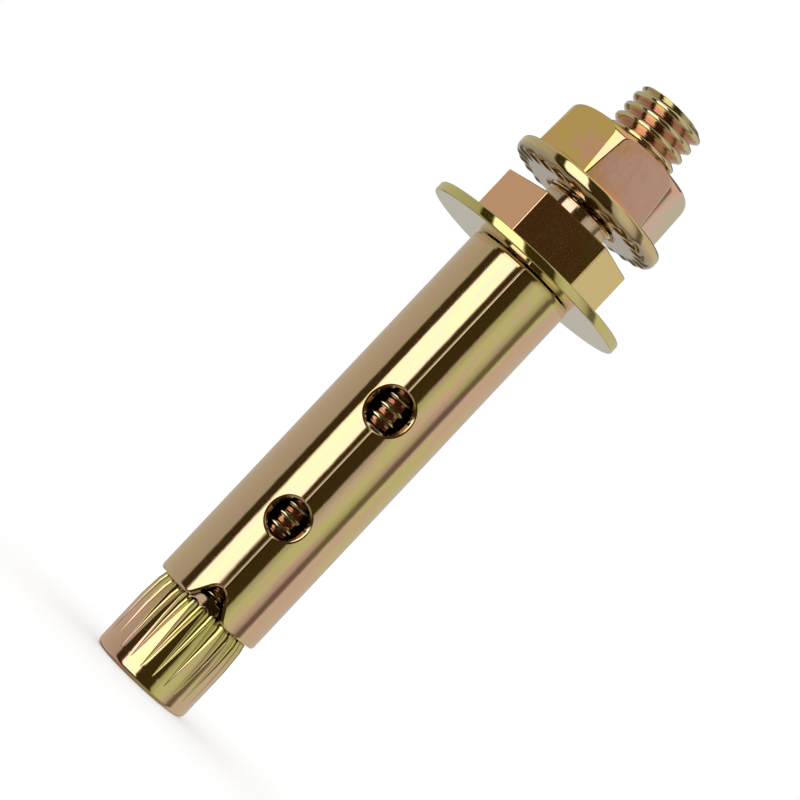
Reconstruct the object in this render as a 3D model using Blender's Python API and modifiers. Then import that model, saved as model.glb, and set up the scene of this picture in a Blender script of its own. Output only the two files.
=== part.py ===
"""Expansion bolt: fluted cone nut, rolled sleeve, washer, collared stud and flange nut.

The bolt stands upright on the lower end of its cone nut. Its axis is the world's Z axis and the
free end of the stud is at the top. The seam, the holes and the notch of the sleeve face -Y.
All lengths are in metres and all angles in radians.
"""
import math

import bmesh
import bpy
from mathutils import Matrix, Vector

# Fits between the pieces
SEAT_GAP = 0.0001
THREAD_CLEARANCE = 0.0001
MOUTH_CLEARANCE = 0.0001
PILOT_CLEARANCE = 0.00022
SHANK_ROOM = 0.0010
WASHER_BORE_CLEARANCE = 0.0003
WALL_HOLE_CLEARANCE = 0.0002

# Stud: a threaded shank, a hex collar, a smooth neck and a threaded tip, all in one piece
THREAD_DIAMETER = 0.0078
END_CHAMFER = 0.0004
FOOT_RECESS = 0.0008
COLLAR_ACROSS_FLATS = 0.01313
COLLAR_HEIGHT = 0.0052
COLLAR_EDGE = 0.00012
COLLAR_TURN = math.radians(3.2)
NECK_UNDERCUT = 0.00024
NECK_LENGTH = 0.00145
TIP_LENGTH = 0.01313

# Cone nut: a plain foot, fluted flanks, a rounded shoulder and a pilot inside the sleeve
CONE_LENGTH = 0.01025
CONE_STEP = 0.00041
CONE_FOOT_EDGE = 0.0006
CONE_BODY_LENGTH = 0.0060
CONE_BODY_BLEND = 0.0080
SHOULDER_TAPER = 0.00016
SHOULDER_DROP = 0.0010
SHOULDER_ROUND = 0.0009
PILOT_LENGTH = 0.00103
PILOT_ROOT = 0.0002
PILOT_EDGE = 0.00015
FLUTE_COUNT = 24
FLUTE_SIDES = 8
FLUTE_FOOT = 0.0017
FLUTE_RADIUS = 0.0006
FLUTE_ROOT_LIFT = 0.00006

# Sleeve: a flat blank rolled into a tube, with half holes and half a notch on each long edge
SLEEVE_LENGTH = 0.0432
SLEEVE_WALL = 0.0009
SLEEVE_END_EDGE = 0.0005
SLEEVE_CUT_EDGE = 0.0002
SEAM_GAP = 0.00012
SEAM_TURN = math.radians(-1.2)
LOWER_HOLE_DIAMETER = 0.0042
LOWER_HOLE_HEIGHT = 0.0113
UPPER_HOLE_DIAMETER = 0.0047
UPPER_HOLE_HEIGHT = 0.0249
NOTCH_WIDTH = 0.0043
NOTCH_DEPTH = 0.00255
NOTCH_APEX_RADIUS = 0.0010
NOTCH_CORNER_RADIUS = 0.0007

# Washer
WASHER_DIAMETER = 0.0227
WASHER_THICKNESS = 0.0010
WASHER_EDGE = 0.0001
WASHER_BORE_DRAW = 0.00003

# Flange nut: a hex with a domed top on a round flange with a toothed underside
NUT_STANDOFF = 0.0018
NUT_HEIGHT = 0.0076
NUT_ACROSS_FLATS = 0.01325
NUT_TURN = math.radians(13.2)
NUT_BASE_TRIM = 0.00005
NUT_TOP_TRIM = 0.00034
NUT_CROWN_TRIM = 0.00245
NUT_CROWN_DROP = 0.00045
NUT_CROWN_EDGE = 0.0004
NUT_DOME_RADIUS = 0.0011
FLANGE_OVERHANG = 0.00102
FLANGE_RIM_HEIGHT = 0.00175
FLANGE_RIM_ROUND = 0.0006
FLANGE_VALLEY_MARGIN = 0.0001
FLANGE_VALLEY_DROP = 0.00012
FLANGE_RISE = 0.00048
NUT_COUNTERSINK = 0.0005
NUT_TOP_COUNTERSINK = 0.0003
TOOTH_COUNT = 24
TOOTH_DEPTH = 0.0003
TOOTH_SIDES = 3
TOOTH_RING_MARGIN = 0.0004

# Smoothness of the round pieces
ROUND_SEGMENTS = 64
ARC_STEPS = 3
CREASE_ANGLE = math.radians(30)
CUT_OVERRUN = 0.0005
MERGE_DISTANCE = 0.000001
HEX_CORNER_TURN = math.pi / 6

# Heights of the pieces on the axis, from the foot of the cone nut
SLEEVE_FOOT = CONE_LENGTH - PILOT_LENGTH
WASHER_FOOT = SLEEVE_FOOT + SLEEVE_LENGTH + SEAT_GAP
COLLAR_FOOT = WASHER_FOOT + WASHER_THICKNESS + SEAT_GAP
COLLAR_TOP = COLLAR_FOOT + COLLAR_HEIGHT
TIP_THREAD_FOOT = COLLAR_TOP + NECK_LENGTH
STUD_TOP = TIP_THREAD_FOOT + TIP_LENGTH
NUT_FOOT = COLLAR_TOP + NUT_STANDOFF

# Radii that follow from the driving sizes
THREAD_RADIUS = THREAD_DIAMETER / 2
NECK_RADIUS = THREAD_RADIUS - NECK_UNDERCUT
THREADED_BORE_RADIUS = THREAD_RADIUS + THREAD_CLEARANCE
SLEEVE_BORE_RADIUS = THREAD_RADIUS + SHANK_ROOM
SLEEVE_RADIUS = SLEEVE_BORE_RADIUS + SLEEVE_WALL
WALL_HOLE_RADIUS = SLEEVE_RADIUS + WALL_HOLE_CLEARANCE
CONE_RADIUS = SLEEVE_RADIUS - CONE_STEP
SHOULDER_RADIUS = CONE_RADIUS - SHOULDER_TAPER
PILOT_RADIUS = SLEEVE_BORE_RADIUS - PILOT_CLEARANCE
MOUTH_RADIUS = SLEEVE_BORE_RADIUS - MOUTH_CLEARANCE
NUT_CORNER_RADIUS = NUT_ACROSS_FLATS / 2 / math.cos(HEX_CORNER_TURN)
NUT_BASE_RADIUS = NUT_CORNER_RADIUS - NUT_BASE_TRIM
FLANGE_RADIUS = NUT_CORNER_RADIUS + FLANGE_OVERHANG

PART_NAME = "expansion_bolt"


def clear_scene():
    """Empty the file, so that only this part is left in it."""
    for obj in list(bpy.data.objects):
        bpy.data.objects.remove(obj, do_unlink=True)


def new_collection(name):
    collection = bpy.data.collections.new(name)
    bpy.context.scene.collection.children.link(collection)
    return collection


def add_object(name, mesh, collection):
    obj = bpy.data.objects.new(name, mesh)
    collection.objects.link(obj)
    return obj


def add_cutter(name, mesh, cutters):
    """A helper shape that other pieces are cut by or joined with."""
    obj = add_object(name, mesh, cutters)
    obj.hide_render = True
    obj.display_type = "WIRE"
    return obj


def plated_steel(name, colour, roughness):
    """Zinc plated and chromated steel: a metal with a warm tint."""
    material = bpy.data.materials.new(name)
    material.use_nodes = True
    shader = material.node_tree.nodes["Principled BSDF"]
    shader.inputs["Base Color"].default_value = (*colour, 1.0)
    shader.inputs["Roughness"].default_value = roughness
    shader.inputs["Metallic"].default_value = 1.0
    return material


def arc_about(centre, start, end, radius, steps):
    """Points on a circle from the angle start to the angle end, both included."""
    angles = [start + (end - start) * step / steps for step in range(steps + 1)]
    return [centre + radius * Vector((math.cos(a), math.sin(a))) for a in angles]


def round_corner(before, corner, after, radius, steps):
    """The arc that takes the place of a corner, tangent to the lines on its two sides."""
    if radius <= 0:
        return [corner]
    to_before = (before - corner).normalized()
    to_after = (after - corner).normalized()
    half_angle = to_before.angle(to_after) / 2
    reach = radius / math.tan(half_angle)
    longest = min((before - corner).length, (after - corner).length) / 2
    if reach > longest:
        reach = longest
        radius = reach * math.tan(half_angle)
    centre = corner + (to_before + to_after).normalized() * math.hypot(reach, radius)
    first = corner + to_before * reach - centre
    last = corner + to_after * reach - centre
    start = math.atan2(first.y, first.x)
    sweep = math.remainder(math.atan2(last.y, last.x) - start, math.tau)
    return arc_about(centre, start, start + sweep, radius, steps)


def rounded_outline(corners, closed):
    """Turn corners given as (x, y, radius) into points, with an arc at each rounded corner."""
    places = [Vector(corner[:2]) for corner in corners]
    points = []
    for index, (_, _, radius) in enumerate(corners):
        is_end = not closed and index in (0, len(corners) - 1)
        before = places[index - 1]
        after = places[(index + 1) % len(places)]
        rounding = 0 if is_end else radius
        points += round_corner(before, places[index], after, rounding, ARC_STEPS)
    return points


def turned_mesh(name, corners, closed):
    """A lathe profile of (radius, height, rounding) corners, drawn down its outer side."""
    points = rounded_outline(corners, closed)
    edges = [(index, index + 1) for index in range(len(points) - 1)]
    if closed:
        edges.append((len(points) - 1, 0))
    mesh = bpy.data.meshes.new(name)
    mesh.from_pydata([(p.x, 0, p.y) for p in points], edges, [])
    return mesh


def add_screw(obj):
    """Sweep a profile once round the Z axis."""
    screw = obj.modifiers.new("turning", "SCREW")
    screw.axis = "Z"
    screw.angle = math.tau
    screw.steps = ROUND_SEGMENTS
    screw.render_steps = ROUND_SEGMENTS
    screw.use_merge_vertices = True
    screw.merge_threshold = MERGE_DISTANCE
    screw.use_smooth_shade = True


def add_boolean(obj, other, operation):
    boolean = obj.modifiers.new(other.name, "BOOLEAN")
    boolean.operation = operation
    boolean.object = other
    boolean.solver = "EXACT"


def hex_shape(across_flats, foot, top, turn):
    """A hex prism on the Z axis with one flat turned from the front by the angle turn."""
    height = top - foot
    corner_radius = across_flats / 2 / math.cos(HEX_CORNER_TURN)
    spin = Matrix.Rotation(HEX_CORNER_TURN + turn, 4, "Z")
    shape = bmesh.new()
    bmesh.ops.create_cone(
        shape, cap_ends=True, segments=6, depth=height, radius1=corner_radius,
        radius2=corner_radius, matrix=Matrix.Translation((0, 0, foot + height / 2)) @ spin,
    )
    return shape


def mesh_from(name, shape):
    mesh = bpy.data.meshes.new(name)
    shape.to_mesh(mesh)
    shape.free()
    return mesh


def collar_mesh():
    """The hex collar with its edges broken."""
    shape = hex_shape(COLLAR_ACROSS_FLATS, COLLAR_FOOT, COLLAR_TOP, COLLAR_TURN)
    bmesh.ops.bevel(
        shape, geom=shape.edges[:], offset=COLLAR_EDGE, segments=1, profile=0.5, affect="EDGES",
    )
    return mesh_from("collar", shape)


def ring_of_cutters(name, count, length, foot_radius, top_radius, sides, place, first_angle):
    """Equal tapered cutters set evenly round the Z axis, as separate closed shapes in one mesh."""
    shape = bmesh.new()
    for index in range(count):
        turn = Matrix.Rotation(first_angle + math.tau * index / count, 4, "Z")
        bmesh.ops.create_cone(
            shape, cap_ends=True, segments=sides, depth=length,
            radius1=foot_radius, radius2=top_radius, matrix=turn @ place,
        )
    return mesh_from(name, shape)


def build_stud(parts, cutters):
    """The turned bar, joined with the hex collar that is forged on it."""
    middle = (COLLAR_TOP + COLLAR_FOOT) / 2
    profile = [
        (0, STUD_TOP, 0),
        (THREAD_RADIUS - END_CHAMFER, STUD_TOP, 0),
        (THREAD_RADIUS, STUD_TOP - END_CHAMFER, 0),
        (THREAD_RADIUS, TIP_THREAD_FOOT + NECK_UNDERCUT, 0),
        (NECK_RADIUS, TIP_THREAD_FOOT, 0),
        (NECK_RADIUS, middle, 0),
        (THREAD_RADIUS, middle, 0),
        (THREAD_RADIUS, FOOT_RECESS + END_CHAMFER, 0),
        (THREAD_RADIUS - END_CHAMFER, FOOT_RECESS, 0),
        (0, FOOT_RECESS, 0),
    ]
    stud = add_object("stud", turned_mesh("stud", profile, closed=False), parts)
    add_screw(stud)
    add_boolean(stud, add_cutter("collar", collar_mesh(), cutters), "UNION")
    stud.data.materials.append(plated_steel("stud_plating", (0.60, 0.44, 0.26), 0.22))
    return stud


def flute_place():
    """Where one flute's cutter lies: its root runs from the foot of the flute to the pilot."""
    top = SLEEVE_FOOT + PILOT_ROOT + CUT_OVERRUN
    rise = top - FLUTE_FOOT
    foot_centre = CONE_RADIUS
    top_centre = PILOT_RADIUS + FLUTE_ROOT_LIFT + FLUTE_RADIUS
    lean = math.atan2(foot_centre - top_centre, rise)
    middle = Vector(((foot_centre + top_centre) / 2, 0, FLUTE_FOOT + rise / 2))
    place = Matrix.Translation(middle) @ Matrix.Rotation(-lean, 4, "Y")
    return place, rise / math.cos(lean)


def build_expander_cone(parts, cutters):
    """The cone nut that the stud draws up into the sleeve."""
    profile = [
        (THREADED_BORE_RADIUS, CONE_LENGTH, 0),
        (PILOT_RADIUS, CONE_LENGTH, PILOT_EDGE),
        (PILOT_RADIUS, SLEEVE_FOOT + PILOT_ROOT, 0),
        (MOUTH_RADIUS, SLEEVE_FOOT, 0),
        (SHOULDER_RADIUS, SLEEVE_FOOT - SHOULDER_DROP, SHOULDER_ROUND),
        (CONE_RADIUS, CONE_BODY_LENGTH, CONE_BODY_BLEND),
        (CONE_RADIUS, 0, CONE_FOOT_EDGE),
        (THREADED_BORE_RADIUS, 0, 0),
    ]
    cone = add_object("expander_cone", turned_mesh("expander_cone", profile, closed=True), parts)
    add_screw(cone)
    place, length = flute_place()
    flutes = ring_of_cutters(
        "flutes", FLUTE_COUNT, length, 0, FLUTE_RADIUS, FLUTE_SIDES, place, math.pi / FLUTE_COUNT,
    )
    add_boolean(cone, add_cutter("flutes", flutes, cutters), "DIFFERENCE")
    cone.data.materials.append(plated_steel("cone_plating", (0.58, 0.46, 0.25), 0.25))
    return cone


def notch_outline(seam_x):
    """Half of the notch, from the foot of the blank up to the seam: a line and the apex arc."""
    rim = Vector((seam_x - NOTCH_WIDTH / 2, 0))
    centre = Vector((seam_x, NOTCH_DEPTH - NOTCH_APEX_RADIUS))
    to_rim = rim - centre
    tangent_turn = math.acos(NOTCH_APEX_RADIUS / to_rim.length)
    start = math.atan2(to_rim.y, to_rim.x) % math.tau - tangent_turn
    end = math.pi / 2 + math.asin(SEAM_GAP / 2 / NOTCH_APEX_RADIUS)
    apex = arc_about(centre, start, end, NOTCH_APEX_RADIUS, 2 * ARC_STEPS)
    lead_in = Vector((0, 0))
    return round_corner(lead_in, rim, apex[0], NOTCH_CORNER_RADIUS, ARC_STEPS) + apex


def half_hole_outline(seam_x, height, diameter):
    """The half circle that a hole takes from one long edge, from its lower end to its upper."""
    lean = math.asin(SEAM_GAP / diameter)
    start = math.tau * 3 / 4 - lean
    end = math.pi / 2 + lean
    return arc_about(Vector((seam_x, height)), start, end, diameter / 2, 6 * ARC_STEPS)


def blank_outline():
    """The flat blank, half an outline and its mirror image: x goes round, y goes up."""
    seam_x = math.pi * SLEEVE_RADIUS
    side = notch_outline(seam_x)
    side += half_hole_outline(seam_x, LOWER_HOLE_HEIGHT, LOWER_HOLE_DIAMETER)
    side += half_hole_outline(seam_x, UPPER_HOLE_HEIGHT, UPPER_HOLE_DIAMETER)
    side.append(Vector((seam_x - SEAM_GAP / 2, SLEEVE_LENGTH)))
    return side + [Vector((-point.x, point.y)) for point in reversed(side)]


def blank_shape():
    """The blank as a plate, its outer face at z = 0, with the outer edges eased."""
    shape = bmesh.new()
    face = shape.faces.new([shape.verts.new((p.x, p.y, 0)) for p in blank_outline()])
    lower = bmesh.ops.extrude_face_region(shape, geom=[face])["geom"]
    lower_corners = [item for item in lower if isinstance(item, bmesh.types.BMVert)]
    bmesh.ops.translate(shape, vec=(0, 0, -SLEEVE_WALL), verts=lower_corners)
    bmesh.ops.recalc_face_normals(shape, faces=shape.faces[:])

    def is_end(edge):
        heights = {round(corner.co.y / MERGE_DISTANCE) for corner in edge.verts}
        return heights in ({0}, {round(SLEEVE_LENGTH / MERGE_DISTANCE)})

    outer = [edge for edge in shape.edges if all(corner.co.z > -MERGE_DISTANCE for corner in edge.verts)]
    for width, steps, chosen in (
        (SLEEVE_END_EDGE, ARC_STEPS, [edge for edge in outer if is_end(edge)]),
        (SLEEVE_CUT_EDGE, 1, [edge for edge in outer if not is_end(edge)]),
    ):
        chosen = [edge for edge in chosen if edge.is_valid]
        bmesh.ops.bevel(
            shape, geom=chosen, offset=width, segments=steps, profile=0.5, affect="EDGES",
            clamp_overlap=True,
        )
    return shape


def roll_up(shape):
    """Crease the plate into narrow strips and bend it into a tube round the Z axis."""
    half = math.pi * SLEEVE_RADIUS
    for strip in range(1, ROUND_SEGMENTS):
        x = -half + 2 * half * strip / ROUND_SEGMENTS
        everything = shape.verts[:] + shape.edges[:] + shape.faces[:]
        bmesh.ops.bisect_plane(
            shape, geom=everything, dist=MERGE_DISTANCE, plane_co=(x, 0, 0), plane_no=(1, 0, 0),
        )
    back = math.pi / 2 + SEAM_TURN
    for corner in shape.verts:
        angle = back + corner.co.x / SLEEVE_RADIUS
        radius = SLEEVE_RADIUS + corner.co.z
        height = SLEEVE_FOOT + corner.co.y
        corner.co = (radius * math.cos(angle), radius * math.sin(angle), height)


def build_sleeve(parts):
    """The rolled tube that the cone nut spreads in its hole."""
    shape = blank_shape()
    roll_up(shape)
    bmesh.ops.recalc_face_normals(shape, faces=shape.faces[:])
    mesh = mesh_from("sleeve", shape)
    mesh.shade_smooth()
    mesh.set_sharp_from_angle(angle=CREASE_ANGLE)
    sleeve = add_object("sleeve", mesh, parts)
    sleeve.data.materials.append(plated_steel("sleeve_plating", (0.62, 0.50, 0.28), 0.18))
    return sleeve


def build_washer(parts):
    """The flat washer. Its underside lies on the wall round the drill hole. Punching the bore has
    drawn the metal inside that ring up a little."""
    top = WASHER_FOOT + WASHER_THICKNESS
    bore = THREAD_RADIUS + WASHER_BORE_CLEARANCE
    profile = [
        (bore, top, 0),
        (WASHER_DIAMETER / 2, top, WASHER_EDGE),
        (WASHER_DIAMETER / 2, WASHER_FOOT, WASHER_EDGE),
        (WALL_HOLE_RADIUS, WASHER_FOOT, 0),
        (bore, WASHER_FOOT + WASHER_BORE_DRAW, 0),
    ]
    washer = add_object("washer", turned_mesh("washer", profile, closed=True), parts)
    add_screw(washer)
    washer.data.materials.append(plated_steel("washer_plating", (0.64, 0.54, 0.34), 0.22))
    return washer


def nut_envelope_mesh():
    """The turned shape that trims the hex: a steep cone with a rounded shoulder and a low crown."""
    top = NUT_FOOT + NUT_HEIGHT
    foot = NUT_FOOT + FLANGE_RIM_HEIGHT / 2
    profile = [
        (0, top, 0),
        (NUT_CORNER_RADIUS - NUT_CROWN_TRIM, top, NUT_CROWN_EDGE),
        (NUT_CORNER_RADIUS - NUT_TOP_TRIM, top - NUT_CROWN_DROP, NUT_DOME_RADIUS),
        (NUT_BASE_RADIUS, foot, 0),
        (0, foot, 0),
    ]
    return turned_mesh("nut_envelope", profile, closed=False)


def flange_mesh():
    """The round flange: a rim with rounded edges, a shallow valley and a rise to the hex."""
    rim_top = NUT_FOOT + FLANGE_RIM_HEIGHT
    valley_radius = NUT_BASE_RADIUS + FLANGE_VALLEY_MARGIN
    profile = [
        (0, rim_top + FLANGE_RISE, 0),
        (NUT_ACROSS_FLATS / 2 - SEAT_GAP, rim_top + FLANGE_RISE, 0),
        (valley_radius, rim_top - FLANGE_VALLEY_DROP, FLANGE_RIM_ROUND),
        (FLANGE_RADIUS, rim_top, FLANGE_RIM_ROUND),
        (FLANGE_RADIUS, NUT_FOOT, FLANGE_RIM_ROUND),
        (0, NUT_FOOT, 0),
    ]
    return turned_mesh("flange", profile, closed=False)


def nut_bore_mesh():
    """The threaded bore at its crests, with a countersink at each end."""
    top = NUT_FOOT + NUT_HEIGHT
    wide_top = THREADED_BORE_RADIUS + NUT_TOP_COUNTERSINK + CUT_OVERRUN
    wide_foot = THREADED_BORE_RADIUS + NUT_COUNTERSINK + CUT_OVERRUN
    profile = [
        (0, top + CUT_OVERRUN, 0),
        (wide_top, top + CUT_OVERRUN, 0),
        (THREADED_BORE_RADIUS, top - NUT_TOP_COUNTERSINK, 0),
        (THREADED_BORE_RADIUS, NUT_FOOT + NUT_COUNTERSINK, 0),
        (wide_foot, NUT_FOOT - CUT_OVERRUN, 0),
        (0, NUT_FOOT - CUT_OVERRUN, 0),
    ]
    return turned_mesh("nut_bore", profile, closed=False)


def tooth_gap_mesh():
    """Radial V grooves in the underside of the flange, deepest at the rim."""
    inner = THREADED_BORE_RADIUS + NUT_COUNTERSINK + TOOTH_RING_MARGIN
    outer = FLANGE_RADIUS + CUT_OVERRUN
    rim_radius = 2 * TOOTH_DEPTH
    lie_down = Matrix.Rotation(math.pi / 2, 4, "Y") @ Matrix.Rotation(math.pi, 4, "Z")
    middle = Matrix.Translation(((inner + outer) / 2, 0, NUT_FOOT - rim_radius / 2 + TOOTH_DEPTH / 2))
    return ring_of_cutters(
        "tooth_gaps", TOOTH_COUNT, outer - inner, 0, rim_radius, TOOTH_SIDES, middle @ lie_down, 0,
    )


def build_flange_nut(parts, cutters):
    """The nut that clamps a fixture on the threaded tip."""
    foot = NUT_FOOT + FLANGE_RIM_HEIGHT / 2 + CUT_OVERRUN
    top = NUT_FOOT + NUT_HEIGHT + CUT_OVERRUN
    shape = hex_shape(NUT_ACROSS_FLATS, foot, top, NUT_TURN)
    nut = add_object("flange_nut", mesh_from("flange_nut", shape), parts)
    for name, shape, operation in (
        ("nut_envelope", nut_envelope_mesh(), "INTERSECT"),
        ("flange", flange_mesh(), "UNION"),
        ("nut_bore", nut_bore_mesh(), "DIFFERENCE"),
    ):
        helper = add_cutter(name, shape, cutters)
        add_screw(helper)
        add_boolean(nut, helper, operation)
    add_boolean(nut, add_cutter("tooth_gaps", tooth_gap_mesh(), cutters), "DIFFERENCE")
    nut.data.materials.append(plated_steel("nut_plating", (0.60, 0.46, 0.26), 0.2))
    return nut


def main():
    clear_scene()
    parts = new_collection(PART_NAME)
    cutters = new_collection("cutters")
    build_sleeve(parts)
    build_expander_cone(parts, cutters)
    build_stud(parts, cutters)
    build_washer(parts)
    build_flange_nut(parts, cutters)


main()
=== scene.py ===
# %% [markdown]
# # An expansion bolt with a yellow, glossy plating
#
# The bolt has five pieces: a rolled sleeve, a fluted cone nut, a stud with a hex collar, a washer and
# a flange nut. The CAD model gives their sizes and says what moves. This lesson makes the finer forms
# that the CAD leaves out, such as threads, rolled edges and teeth, and then the plating and the studio.

# %% Load the CAD frame
import math

import bmesh
import bpy
import numpy as np
from mathutils import Matrix, Vector


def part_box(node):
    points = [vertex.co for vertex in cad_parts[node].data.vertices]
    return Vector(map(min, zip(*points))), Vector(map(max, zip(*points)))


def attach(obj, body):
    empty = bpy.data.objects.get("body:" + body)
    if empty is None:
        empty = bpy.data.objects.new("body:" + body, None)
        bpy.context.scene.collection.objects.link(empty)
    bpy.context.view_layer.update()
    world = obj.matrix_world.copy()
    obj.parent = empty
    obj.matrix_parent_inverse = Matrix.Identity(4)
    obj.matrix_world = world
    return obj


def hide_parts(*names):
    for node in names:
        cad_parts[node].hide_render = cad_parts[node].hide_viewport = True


MM = 0.001
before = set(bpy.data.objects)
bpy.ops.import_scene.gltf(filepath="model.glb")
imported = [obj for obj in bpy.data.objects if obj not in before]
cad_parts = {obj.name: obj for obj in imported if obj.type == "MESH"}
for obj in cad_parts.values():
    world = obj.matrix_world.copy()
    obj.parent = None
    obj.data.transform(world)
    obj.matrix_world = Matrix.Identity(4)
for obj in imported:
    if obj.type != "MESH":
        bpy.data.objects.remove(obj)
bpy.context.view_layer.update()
print("CAD nodes:", sorted(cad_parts))

# %% [markdown]
# ## Read the sizes from the frame
#
# Each CAD node gives the place of its piece, so heights and outer sizes are read here and not typed
# again. Only what a box can't tell, such as the width of a notch, is written down further on.

# %% Heights and radii
FRONT = math.radians(-90)
SLEEVE_LOW, SLEEVE_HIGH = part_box("sleeve")
_, CONE_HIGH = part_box("expander_cone")
STUD_LOW, STUD_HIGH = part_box("stud")
WASHER_LOW, WASHER_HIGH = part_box("washer")
NUT_LOW, NUT_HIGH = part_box("flange_nut")

SLEEVE_FOOT = SLEEVE_LOW.z
SLEEVE_LENGTH = SLEEVE_HIGH.z - SLEEVE_FOOT
SLEEVE_RADIUS = SLEEVE_HIGH.x
CONE_RADIUS = CONE_HIGH.x
WASHER_RADIUS = WASHER_HIGH.x
FLANGE_RADIUS = NUT_HIGH.x
print(f"sleeve {SLEEVE_LENGTH / MM:.2f} mm long, radius {SLEEVE_RADIUS / MM:.2f} mm")

# %% [markdown]
# ## Set up the camera first
#
# The photo shows the bolt lying across the picture from the lower left to the upper right. The real
# bolt is kept upright here, and the camera is rolled by nearly 47 degrees instead. A long lens and a
# camera a little below the middle of the bolt give the slightly raised view of the washer's underside.

# %% Camera
CAMERA_PITCH = math.radians(2.6)
CAMERA_ROLL = math.radians(46.73)
CAMERA_DISTANCE = 252 * MM
CAMERA_TARGET = Vector((-0.13 * MM, 0, 35.78 * MM))
FOCAL_PIXELS = 2679
PHOTO_PIXELS = 800
SENSOR_WIDTH = 36
NEAREST_SEEN = 10 * MM


def add_camera():
    """A camera in front of the bolt, tipped up by the pitch and rolled about its own line of sight."""
    ahead = Vector((0, math.cos(CAMERA_PITCH), math.sin(CAMERA_PITCH)))
    above = Vector((0, -math.sin(CAMERA_PITCH), math.cos(CAMERA_PITCH)))
    side = Vector((1, 0, 0))
    right = math.cos(CAMERA_ROLL) * above + math.sin(CAMERA_ROLL) * side
    up = math.sin(CAMERA_ROLL) * above - math.cos(CAMERA_ROLL) * side
    place = CAMERA_TARGET - ahead * CAMERA_DISTANCE / math.cos(CAMERA_PITCH)
    camera = bpy.data.objects.new("camera", bpy.data.cameras.new("camera"))
    bpy.context.scene.collection.objects.link(camera)
    camera.matrix_world = Matrix.Translation(place) @ Matrix((right, up, -ahead)).transposed().to_4x4()
    camera.data.sensor_width = SENSOR_WIDTH
    camera.data.lens = FOCAL_PIXELS * SENSOR_WIDTH / PHOTO_PIXELS
    camera.data.clip_start = NEAREST_SEEN
    bpy.context.scene.camera = camera
    return camera


camera = add_camera()
print(f"camera with a {camera.data.lens:.0f} mm lens")

# %% [markdown]
# ## Helpers for turned shapes
#
# Nearly every piece was turned, pressed or rolled about one axis. So the basic tool is a grid: each
# row is a ring of points round the axis, and the rows follow the section of the piece. A grid can
# follow a thread or a flute, which a Screw modifier can't, because each point may have its own radius.

# %% Rounded sections
ARC_STEPS = 5


def rounded(corners, steps=ARC_STEPS):
    """Turn closed (radius, height, rounding) corners into points, with an arc at each rounding."""
    points = []
    for index, (radius, height, rounding) in enumerate(corners):
        corner = Vector((radius, height))
        before = Vector(corners[index - 1][:2]) - corner
        after = Vector(corners[(index + 1) % len(corners)][:2]) - corner
        if rounding <= 0:
            points.append(corner)
            continue
        half = before.angle(after) / 2
        reach = min(rounding / math.tan(half), before.length / 2, after.length / 2)
        arc_radius = reach * math.tan(half)
        middle = (before.normalized() + after.normalized()).normalized()
        centre = corner + middle * math.hypot(reach, arc_radius)
        first = corner + before.normalized() * reach - centre
        last = corner + after.normalized() * reach - centre
        start = math.atan2(first.y, first.x)
        sweep = math.remainder(math.atan2(last.y, last.x) - start, math.tau)
        for step in range(steps + 1):
            angle = start + sweep * step / steps
            points.append(centre + arc_radius * Vector((math.cos(angle), math.sin(angle))))
    return np.array([point[:] for point in points])


def fine_section(points, longest):
    """Split the long lines of a section, so that no row is far from the next."""
    rows = [points[0]]
    for start, end in zip(points, points[1:]):
        count = max(1, math.ceil(np.linalg.norm(end - start) / longest))
        rows += [start + (end - start) * step / count for step in range(1, count + 1)]
    return np.array(rows)


rounded_corner = rounded([(0, 0, 0), (1, 0, 0.2), (1, 1, 0)])
print(f"three corners, one of them rounded, give {len(rounded_corner)} points")


# %% Grids of rings
def full_turn(count):
    """The angles of points that are spread evenly round the axis."""
    return np.arange(count) * math.tau / count


def ring_grid(radii, heights, angles):
    """Rows of points: each row of radii and heights goes once round the axis at the angles."""
    radii, heights, angles = np.broadcast_arrays(radii, heights, angles)
    return np.stack([radii * np.cos(angles), radii * np.sin(angles), heights], axis=-1)


def grid_mesh(name, grid):
    """Join a grid of rings with quads. The last ring is joined to the first, so nothing stays open."""
    rows, columns = grid.shape[:2]
    index = np.arange(rows * columns).reshape(rows, columns)
    upper = np.roll(index, -1, axis=0)
    quads = np.stack([index, np.roll(index, -1, 1), np.roll(upper, -1, 1), upper], axis=-1)
    mesh = bpy.data.meshes.new(name)
    mesh.from_pydata(grid.reshape(-1, 3).tolist(), [], quads.reshape(-1, 4).tolist())
    mesh.validate()
    mesh.shade_smooth()
    return mesh


print("a square ring:", ring_grid(1.0, 0.0, full_turn(4)).round(3).tolist())


# %% Hand a piece over to the frame
def piece_from(name, mesh, body, node, sharp_from=35):
    """Make an object that rides on a body and stands for its CAD node, which it hides."""
    mesh.set_sharp_from_angle(angle=math.radians(sharp_from))
    piece = bpy.data.objects.new(name, mesh)
    bpy.context.scene.collection.objects.link(piece)
    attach(piece, body)
    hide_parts(node)
    print(f"{name}: {len(mesh.polygons)} faces, stands for {node}")
    return piece


print("pieces take the places of", len(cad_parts), "CAD nodes")

# %% [markdown]
# ## Threads
#
# The stud has a rolled coarse thread with a pitch of 1.25 mm. A thread is a ridge that rises by one
# pitch in each turn, so the depth of the groove depends only on height minus angle. The sharp 60 degree
# V is softened at the crest and at the root, as a rolled thread is. The phase makes the crests fall
# where the photo shows them, which differs on the tip and on the shank.

# %% The groove of a thread
PITCH = 1.25 * MM
THREAD_DEPTH = 0.66 * MM
CREST_HALF_WIDTH = 0.11 * MM
CREST_ROUND = 0.075 * MM
ROOT_ROUND = 0.09 * MM
FLANK_SLOPE = math.tan(math.radians(60))
TIP_CREST_HEIGHT = 71.62 * MM
SHANK_CREST_HEIGHT = 34.76 * MM


def soft_ramp(value, rounding):
    """Zero below zero and the value above it, with a rounded corner."""
    return rounding * np.logaddexp(0, value / rounding)


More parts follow.
